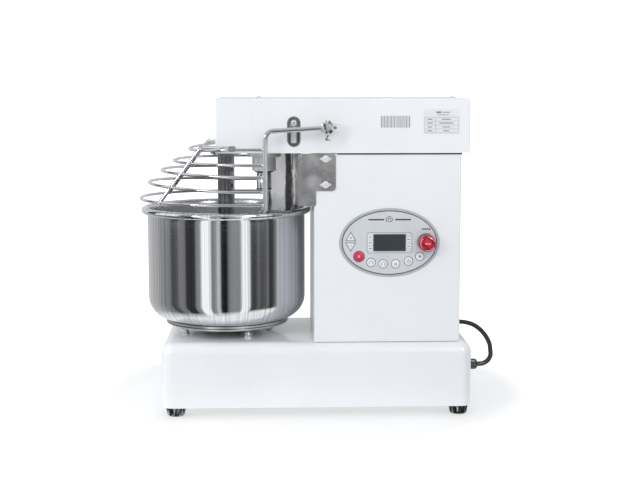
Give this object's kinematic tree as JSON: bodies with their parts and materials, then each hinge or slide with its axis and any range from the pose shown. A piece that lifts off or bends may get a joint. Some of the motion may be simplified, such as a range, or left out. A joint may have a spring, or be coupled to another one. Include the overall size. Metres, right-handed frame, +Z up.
{
  "type": "spiral dough mixer",
  "caption": "Bench-top spiral dough mixer: turning bowl, spiral tool, breaker bar, hinged wire guard, column with oval control panel and boxed head.",
  "frame": {"origin": "centre of the machine's footprint box on the bench, without the power cord", "axes": "+Z up, -Y towards the control panel, bowl at the -X end"},
  "size_m": [0.5918, 0.443, 0.5136],
  "materials": {
    "white_paint": "smooth gloss powder coat",
    "polished_steel": "polished stainless steel",
    "brushed_stainless": "brushed stainless steel",
    "zinc": "bright zinc-plated steel",
    "machine_steel": "machined steel",
    "cast_iron": "as cast",
    "motor_paint": "painted cast aluminium",
    "rotor_metal": "machined rotor",
    "black_rubber": "moulded black",
    "black_plastic": "moulded nylon",
    "grey_plastic": "moulded grey",
    "panel_silver": "printed silver film",
    "display_dark": "dark display",
    "board_green": "circuit board",
    "red_plastic": "moulded red",
    "white_plastic": "white film"
  },
  "bodies": {
    "chassis": {"base_housing": "white_paint", "base_bottom_plate": "zinc", "feet": "black_rubber", "column_housing": "white_paint", "rear_cover": "white_paint", "cover_screws": "zinc", "head_chassis": "zinc", "nose_cover": "white_paint", "head_cover": "white_paint", "slot_grommet": "grey_plastic", "belt_tensioner": "zinc", "bowl_bearing_housing": "cast_iron", "bearing_dome_nuts": "zinc", "shaft_bearings": "machine_steel", "spiral_bearing_housing": "white_paint", "breaker_bar": "brushed_stainless", "splash_shield": "brushed_stainless", "shield_screws": "zinc", "panel_plate": "panel_silver", "display_window": "display_dark", "control_board": "board_green", "estop_body": "grey_plastic", "motor_body": "motor_paint", "motor_mount": "cast_iron", "drive_belt": "black_rubber", "spiral_chain": "machine_steel", "base_chains": "machine_steel", "guard_bushes": "grey_plastic", "guard_switch": "black_plastic", "labels": "white_plastic", "cable_gland": "black_plastic", "power_cord": "black_rubber", "cord_coil": "black_rubber", "cord_tie": "black_plastic", "plug": "black_rubber"},
    "bowl": {"mixing_bowl": "polished_steel", "bowl_collar": "polished_steel", "bowl_shaft": "machine_steel", "bowl_sprocket": "machine_steel"},
    "spiral": {"spiral_hook": "polished_steel", "spiral_shaft": "brushed_stainless", "spiral_sprocket": "machine_steel"},
    "counter": {"countershaft": "machine_steel"},
    "rotor": {"motor_rotor": "rotor_metal", "motor_pulley": "cast_iron"},
    "idler": {"idler_shaft": "machine_steel"},
    "guard": {"guard_cage": "polished_steel", "guard_shaft": "zinc", "guard_clamps": "zinc", "clamp_screws": "zinc"},
    "estop_plunger": {"estop_stem": "grey_plastic"},
    "estop_mushroom": {"estop_head": "red_plastic"},
    "key_stop_cap": {"key_stop": "red_plastic"},
    "key_1_cap": {"key_1": "white_plastic"},
    "key_2_cap": {"key_2": "white_plastic"},
    "key_3_cap": {"key_3": "white_plastic"},
    "key_4_cap": {"key_4": "white_plastic"},
    "key_5_cap": {"key_5": "white_plastic"},
    "key_up_cap": {"key_up": "white_plastic"},
    "key_down_cap": {"key_down": "white_plastic"}
  },
  "joints": [
    {"name": "bowl_spin", "type": "hinge", "parent": "chassis", "child": "bowl", "pos_m": [-0.127, 0, 0.14], "axis": [0, 0, 1], "continuous": true},
    {"name": "spiral_spin", "type": "hinge", "parent": "chassis", "child": "spiral", "pos_m": [-0.064, 0, 0.4], "axis": [0, 0, 1], "continuous": true},
    {"name": "counter_spin", "type": "hinge", "parent": "chassis", "child": "counter", "pos_m": [0.084, 0, 0.25], "axis": [0, 0, 1], "continuous": true},
    {"name": "motor_spin", "type": "hinge", "parent": "chassis", "child": "rotor", "pos_m": [0.18, 0, 0.3], "axis": [0, 0, 1], "continuous": true},
    {"name": "idler_spin", "type": "hinge", "parent": "chassis", "child": "idler", "pos_m": [-0.012, 0, 0.045], "axis": [0, 0, 1], "continuous": true},
    {"name": "guard_lift", "type": "hinge", "parent": "chassis", "child": "guard", "pos_m": [0.037, 0, 0.466], "axis": [0, 1, 0], "range_deg": [0, 85]},
    {"name": "estop_press", "type": "slide", "parent": "chassis", "child": "estop_plunger", "axis": [0, 1, 0], "range_m": [0, 0.004], "stiffness_N_per_m": 400},
    {"name": "estop_twist", "type": "hinge", "parent": "estop_plunger", "child": "estop_mushroom", "pos_m": [0.1953, -0.12, 0.2825], "axis": [0, 1, 0], "range_deg": [0, 30], "stiffness_Nm_per_rad": 0.02},
    {"name": "key_stop_press", "type": "slide", "parent": "chassis", "child": "key_stop_cap", "axis": [0, 1, 0], "range_m": [0, 0.001], "stiffness_N_per_m": 300},
    {"name": "key_1_press", "type": "slide", "parent": "chassis", "child": "key_1_cap", "axis": [0, 1, 0], "range_m": [0, 0.001], "stiffness_N_per_m": 300},
    {"name": "key_2_press", "type": "slide", "parent": "chassis", "child": "key_2_cap", "axis": [0, 1, 0], "range_m": [0, 0.001], "stiffness_N_per_m": 300},
    {"name": "key_3_press", "type": "slide", "parent": "chassis", "child": "key_3_cap", "axis": [0, 1, 0], "range_m": [0, 0.001], "stiffness_N_per_m": 300},
    {"name": "key_4_press", "type": "slide", "parent": "chassis", "child": "key_4_cap", "axis": [0, 1, 0], "range_m": [0, 0.001], "stiffness_N_per_m": 300},
    {"name": "key_5_press", "type": "slide", "parent": "chassis", "child": "key_5_cap", "axis": [0, 1, 0], "range_m": [0, 0.001], "stiffness_N_per_m": 300},
    {"name": "key_up_press", "type": "slide", "parent": "chassis", "child": "key_up_cap", "axis": [0, 1, 0], "range_m": [0, 0.001], "stiffness_N_per_m": 300},
    {"name": "key_down_press", "type": "slide", "parent": "chassis", "child": "key_down_cap", "axis": [0, 1, 0], "range_m": [0, 0.001], "stiffness_N_per_m": 300}
  ],
  "couplings": [
    {"joint": "idler_spin", "follows": "bowl_spin", "ratio": 5.3333},
    {"joint": "counter_spin", "follows": "bowl_spin", "ratio": 15.238},
    {"joint": "motor_spin", "follows": "bowl_spin", "ratio": 40.173},
    {"joint": "spiral_spin", "follows": "bowl_spin", "ratio": 6.0952}
  ]
}
